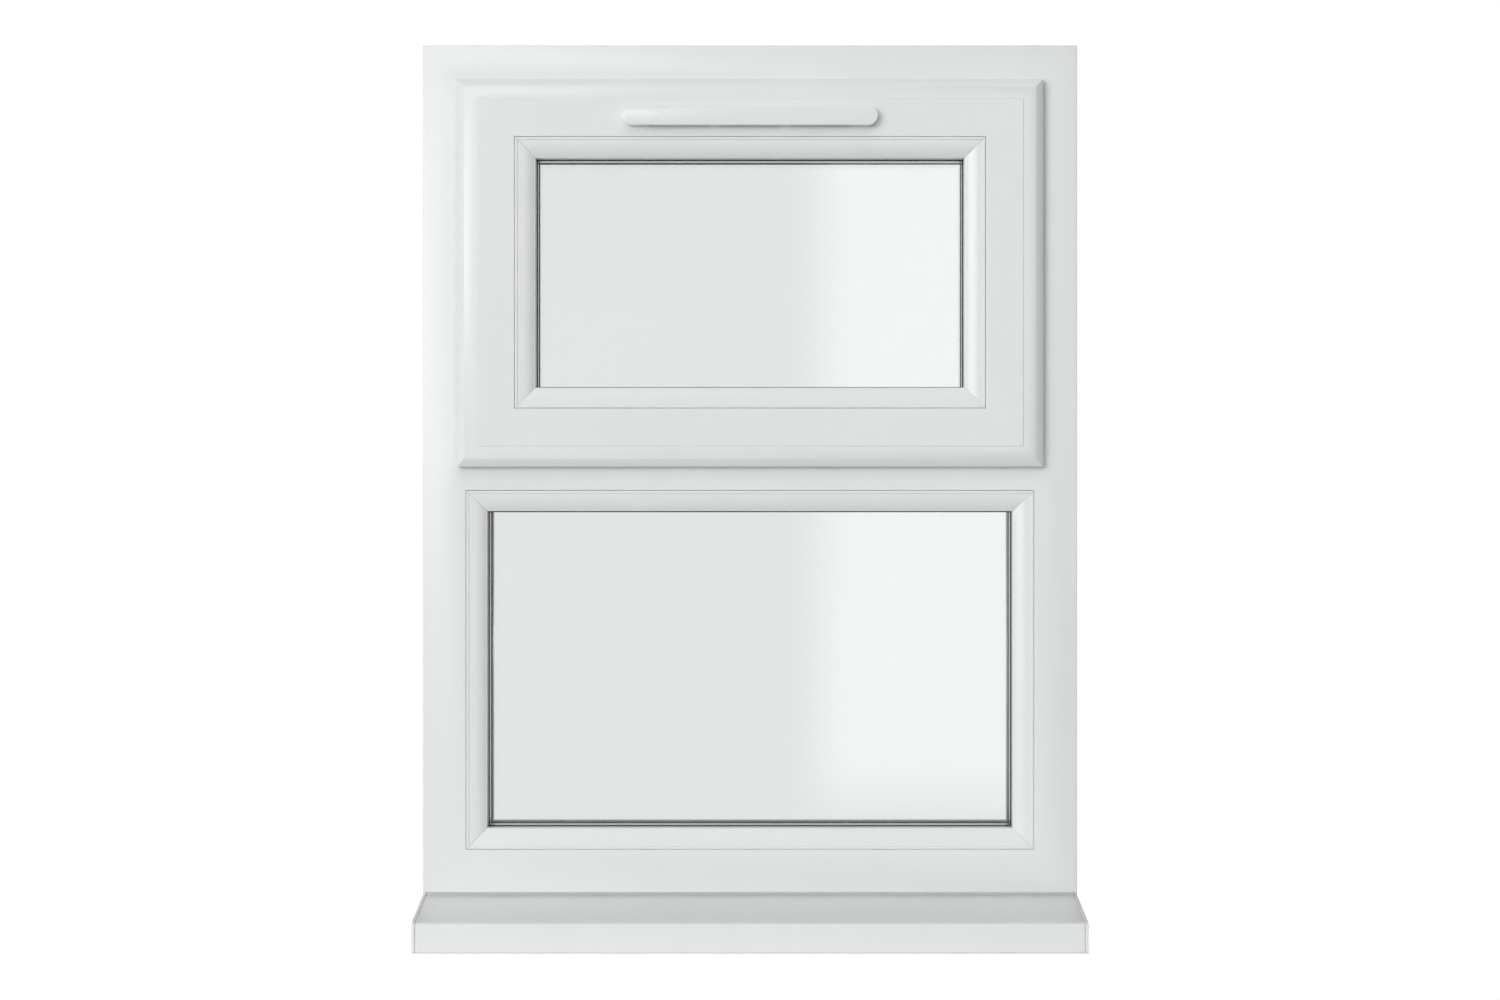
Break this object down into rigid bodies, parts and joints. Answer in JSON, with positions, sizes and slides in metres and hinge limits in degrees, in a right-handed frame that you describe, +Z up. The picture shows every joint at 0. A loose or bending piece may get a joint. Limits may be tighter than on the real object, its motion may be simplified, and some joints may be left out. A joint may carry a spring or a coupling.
{
  "type": "casement window",
  "caption": "White top-hung opening sash over a fixed light, on friction stays, with a lock, a vent canopy and a projecting cill.",
  "frame": {"origin": "middle of the underside of the cill, in line with the outside face of the frame", "axes": "+X along the window, to the right seen from outside; +Y into the room; +Z up"},
  "size_m": [0.6116, 0.168, 0.8337],
  "materials": {
    "frame_upvc": "smooth satin-gloss white extruded plastic",
    "cill_upvc": "satin white extruded plastic",
    "float_glass": "clear, polished",
    "seal_rubber": "matt black",
    "spacer_alloy": "mill finish",
    "hardware_steel": "zinc-plated satin",
    "handle_white": "white powder coat"
  },
  "bodies": {
    "frame": {"cill": "cill_upvc", "cill_end_cap_left": "cill_upvc", "cill_end_cap_right": "cill_upvc", "fixed_bead_bottom": "frame_upvc", "fixed_bead_left": "frame_upvc", "fixed_bead_right": "frame_upvc", "fixed_bead_top": "frame_upvc", "fixed_inner_gasket": "seal_rubber", "fixed_inner_pane": "float_glass", "fixed_outer_gasket": "seal_rubber", "fixed_outer_pane": "float_glass", "fixed_spacer_bar": "spacer_alloy", "frame_bottom_rail": "frame_upvc", "frame_head": "frame_upvc", "frame_jamb_left": "frame_upvc", "frame_jamb_right": "frame_upvc", "frame_weather_seal": "seal_rubber", "jamb_reinforcement_left": "hardware_steel", "jamb_reinforcement_right": "hardware_steel", "lock_keep_left": "hardware_steel", "lock_keep_right": "hardware_steel", "stay_track_left": "hardware_steel", "stay_track_right": "hardware_steel", "transom": "frame_upvc"},
    "sash": {"handle_base": "handle_white", "lock_faceplate": "hardware_steel", "lock_gearbox": "hardware_steel", "sash_bar_left": "hardware_steel", "sash_bar_right": "hardware_steel", "sash_bead_bottom": "frame_upvc", "sash_bead_left": "frame_upvc", "sash_bead_right": "frame_upvc", "sash_bead_top": "frame_upvc", "sash_bottom_rail": "frame_upvc", "sash_inner_gasket": "seal_rubber", "sash_inner_pane": "float_glass", "sash_outer_gasket": "seal_rubber", "sash_outer_pane": "float_glass", "sash_reinforcement_left": "hardware_steel", "sash_reinforcement_right": "hardware_steel", "sash_spacer_bar": "spacer_alloy", "sash_stile_left": "frame_upvc", "sash_stile_right": "frame_upvc", "sash_top_rail": "frame_upvc", "sash_weather_seal": "seal_rubber", "vent_body": "frame_upvc", "vent_canopy": "frame_upvc"},
    "long_arm_left": {"long_arm_left": "hardware_steel"},
    "long_arm_right": {"long_arm_right": "hardware_steel"},
    "short_arm_left": {"short_arm_left": "hardware_steel"},
    "short_arm_right": {"short_arm_right": "hardware_steel"},
    "slider_left": {"slider_left": "hardware_steel"},
    "slider_right": {"slider_right": "hardware_steel"},
    "vent_flap": {"vent_flap": "frame_upvc"},
    "handle": {"handle_lever": "handle_white", "handle_spindle": "hardware_steel"},
    "handle_button": {"handle_button": "handle_white"},
    "drive_bar": {"lock_drive_bar": "hardware_steel", "lock_cam_left": "hardware_steel", "lock_cam_right": "hardware_steel"}
  },
  "joints": [
    {"name": "long_arm_left_hinge", "type": "hinge", "parent": "frame", "child": "long_arm_left", "pos_m": [-0.2599, 0.02, 0.58], "axis": [-1, 0, 0], "range_deg": [-50, 0]},
    {"name": "sash_hinge", "type": "hinge", "parent": "long_arm_left", "child": "sash", "pos_m": [0, 0.02, 0.69], "axis": [-1, 0, 0], "range_deg": [0, 90]},
    {"name": "long_arm_right_hinge", "type": "hinge", "parent": "frame", "child": "long_arm_right", "pos_m": [0.2599, 0.02, 0.58], "axis": [-1, 0, 0], "range_deg": [-50, 0]},
    {"name": "short_arm_left_hinge", "type": "hinge", "parent": "sash", "child": "short_arm_left", "pos_m": [-0.2599, 0.02, 0.76], "axis": [-1, 0, 0], "range_deg": [-95, 0]},
    {"name": "slider_left_hinge", "type": "hinge", "parent": "short_arm_left", "child": "slider_left", "pos_m": [-0.2599, 0.02, 0.72], "axis": [-1, 0, 0], "range_deg": [0, 50]},
    {"name": "short_arm_right_hinge", "type": "hinge", "parent": "sash", "child": "short_arm_right", "pos_m": [0.2599, 0.02, 0.76], "axis": [-1, 0, 0], "range_deg": [-95, 0]},
    {"name": "slider_right_hinge", "type": "hinge", "parent": "short_arm_right", "child": "slider_right", "pos_m": [0.2599, 0.02, 0.72], "axis": [-1, 0, 0], "range_deg": [0, 50]},
    {"name": "handle_turn", "type": "hinge", "parent": "sash", "child": "handle", "pos_m": [0, 0.06, 0.476], "axis": [0, 1, 0], "range_deg": [0, 90]},
    {"name": "handle_button_press", "type": "slide", "parent": "handle", "child": "handle_button", "axis": [0, -1, 0], "range_m": [0, 0.0018], "stiffness_N_per_m": 400},
    {"name": "drive_bar_slide", "type": "slide", "parent": "sash", "child": "drive_bar", "axis": [1, 0, 0], "range_m": [0, 0.0205]},
    {"name": "vent_flap_hinge", "type": "hinge", "parent": "sash", "child": "vent_flap", "pos_m": [0, 0.0615, 0.7527], "axis": [1, 0, 0], "range_deg": [0, 40]}
  ],
  "couplings": [
    {"joint": "long_arm_left_hinge", "follows": "sash_hinge", "ratio": -0.5},
    {"joint": "long_arm_right_hinge", "follows": "sash_hinge", "ratio": -0.5},
    {"joint": "short_arm_left_hinge", "follows": "sash_hinge", "ratio": -1},
    {"joint": "slider_left_hinge", "follows": "sash_hinge", "ratio": 0.5},
    {"joint": "short_arm_right_hinge", "follows": "sash_hinge", "ratio": -1},
    {"joint": "slider_right_hinge", "follows": "sash_hinge", "ratio": 0.5},
    {"joint": "drive_bar_slide", "follows": "handle_turn", "m_per_rad": 0.01273}
  ]
}
